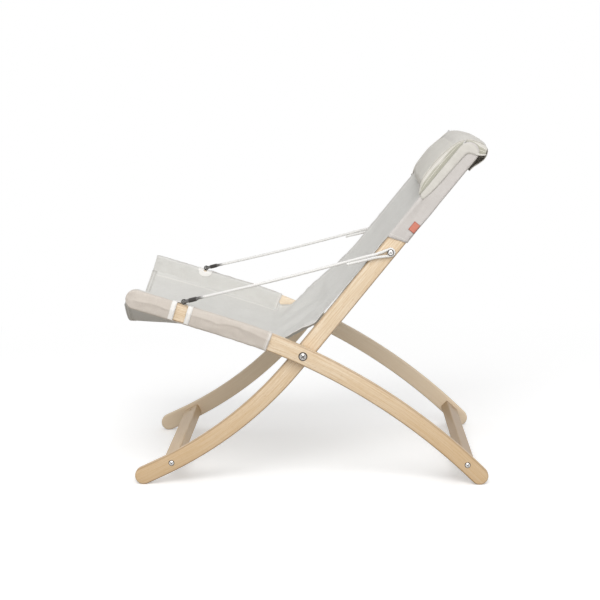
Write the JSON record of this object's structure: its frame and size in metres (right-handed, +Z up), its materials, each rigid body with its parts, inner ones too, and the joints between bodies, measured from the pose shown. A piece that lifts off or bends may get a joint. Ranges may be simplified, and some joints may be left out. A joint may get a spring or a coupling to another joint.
{
  "type": "folding deck chair",
  "caption": "Folding deck chair: two bent wooden frames crossed at a pivot, a cloth sling seat, rope arms and a head pillow.",
  "frame": {"origin": "middle of the overall box without the ropes, on the floor", "axes": "+Z up; the sitter faces -Y; +X is the sitter's left"},
  "size_m": [0.61, 0.8995, 0.8185],
  "materials": {
    "beech": "lacquered satin",
    "bright_steel": "zinc plated",
    "dark_steel": "blackened",
    "nylon": "matt",
    "sling_cloth": "woven canvas",
    "pillow_cloth": "woven canvas",
    "edge_tape": "cotton tape",
    "tag_cloth": "woven label",
    "rope_fibre": "braided",
    "binding": "waxed thread"
  },
  "bodies": {
    "back_frame": {"back_bar_left": "beech", "back_bar_right": "beech", "front_stretcher": "beech", "front_stretcher_bolts": "bright_steel", "front_barrel_nuts": "bright_steel", "front_dowels": "beech", "pivot_bolts": "bright_steel", "pivot_spacers": "nylon", "pivot_washers": "bright_steel", "pivot_nuts": "bright_steel", "back_sleeve_left": "sling_cloth", "back_sleeve_right": "sling_cloth", "bend_panel": "sling_cloth", "back_panel": "sling_cloth", "head_pillow": "pillow_cloth", "pillow_flap": "pillow_cloth", "side_tag": "tag_cloth", "arm_rope_left": "rope_fibre", "arm_rope_right": "rope_fibre", "rope_screws": "bright_steel", "rope_washers": "bright_steel"},
    "seat_frame": {"seat_bar_left": "beech", "seat_bar_right": "beech", "rear_stretcher": "beech", "rear_stretcher_bolts": "bright_steel", "rear_barrel_nuts": "bright_steel", "rear_dowels": "beech", "seat_sleeve_left": "sling_cloth", "seat_sleeve_right": "sling_cloth", "seat_panel": "sling_cloth", "front_hem": "sling_cloth", "slot_tape_left": "edge_tape", "slot_tape_right": "edge_tape", "rope_eyes": "dark_steel", "rope_whippings": "binding"}
  },
  "joints": [
    {"name": "fold", "type": "hinge", "parent": "back_frame", "child": "seat_frame", "pos_m": [0, 0.0029, 0.31279], "axis": [1, 0, 0], "range_deg": [-103, 0], "deforming": ["bend_panel", "arm_rope_left", "arm_rope_right"]}
  ]
}
